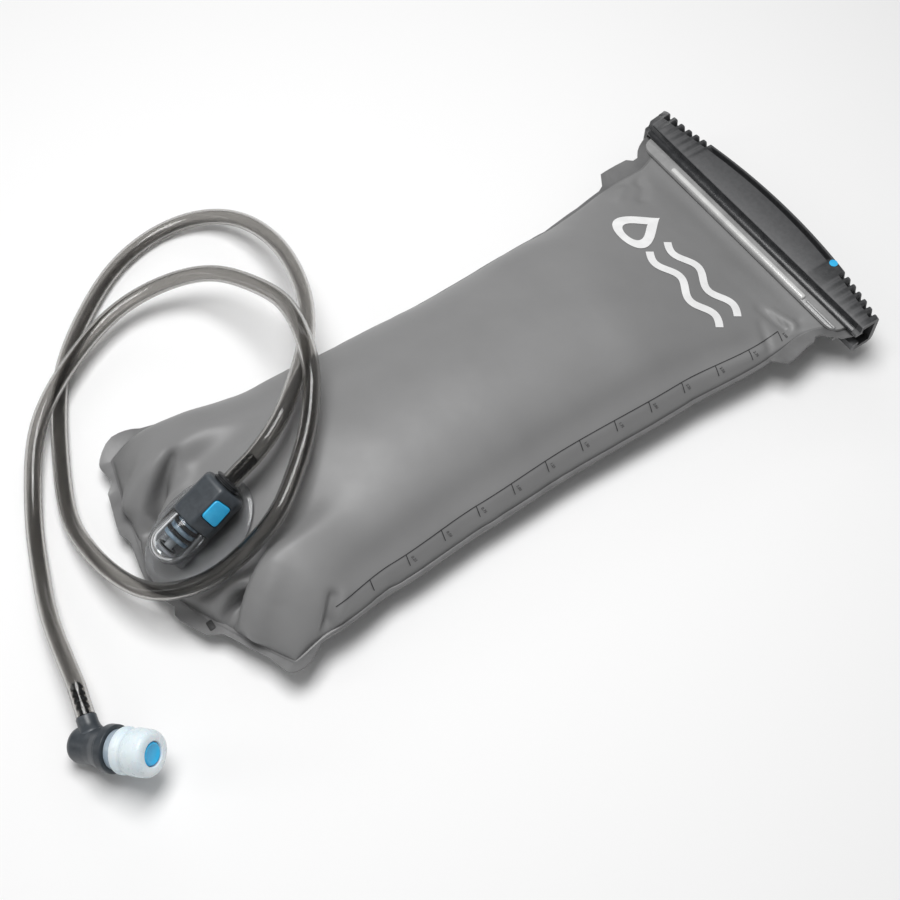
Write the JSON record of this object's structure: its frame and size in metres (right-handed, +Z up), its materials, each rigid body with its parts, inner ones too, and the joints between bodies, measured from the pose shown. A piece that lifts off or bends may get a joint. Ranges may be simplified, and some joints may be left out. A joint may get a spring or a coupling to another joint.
{
  "type": "hydration bladder",
  "caption": "Filled flexible film reservoir lying on its back, with a slide closure across its mouth, a push-button hose connector, a coiled drink hose and a bite valve.",
  "frame": {"origin": "centre of the bag, port plate and closure in plan, on the surface that the filled bag lies on", "axes": "+X along the bag from the hose port to the slide closure, +Y across it towards the closed end of the slider, +Z up through the front film"},
  "size_m": [0.5317, 0.3265, 0.083],
  "materials": {
    "film": "matt translucent film, smoky grey",
    "rail": "glossy pale grey plastic",
    "slider": "fine-grained charcoal plastic",
    "blue": "satin blue plastic",
    "clear": "clear moulded plastic",
    "slate": "satin slate-grey plastic",
    "seal": "black seal rubber",
    "spring": "drawn stainless wire",
    "poppet": "pale grey acetal",
    "tube": "smoky clear flexible hose",
    "stem": "bluish clear plastic",
    "silicone": "frosted clear silicone"
  },
  "bodies": {
    "bag": {"front_film": "film", "back_film": "film", "front_rail": "rail", "back_rail": "rail", "port_body": "clear", "poppet_spring": "spring"},
    "closure": {"closure_slider": "slider", "slider_dot": "blue"},
    "socket_poppet": {"poppet": "poppet", "poppet_seal": "seal"},
    "drink_line": {"plug_housing": "slate", "plug_spigot": "slate", "o_ring_front": "seal", "o_ring_rear": "seal", "hose_barb": "slate", "drink_tube": "tube", "valve_elbow": "slate"},
    "button": {"release_button": "blue", "button_spring": "spring"},
    "mouthpiece": {"bite_stem": "stem", "stem_o_ring": "seal", "bite_cap": "silicone", "bite_core": "blue"}
  },
  "joints": [
    {"name": "closure_slide", "type": "slide", "parent": "bag", "child": "closure", "axis": [0, 1, 0], "range_m": [0, 0.2]},
    {"name": "plug_release", "type": "slide", "parent": "bag", "child": "drink_line", "axis": [0.9136, 0.1122, 0.3907], "range_m": [0, 0.012]},
    {"name": "poppet_travel", "type": "slide", "parent": "bag", "child": "socket_poppet", "axis": [0.9136, 0.1122, 0.3907], "range_m": [0, 0.0012]},
    {"name": "button_press", "type": "slide", "parent": "drink_line", "child": "button", "axis": [0.0924, 0.8786, -0.4685], "range_m": [0, 0.002], "stiffness_N_per_m": 800},
    {"name": "shutoff_twist", "type": "hinge", "parent": "drink_line", "child": "mouthpiece", "pos_m": [-0.298, -0.056, 0.009], "axis": [0.5534, -0.7083, 0.4384], "range_deg": [0, 90]}
  ],
  "couplings": [
    {"joint": "poppet_travel", "follows": "plug_release", "ratio": 0.095}
  ]
}
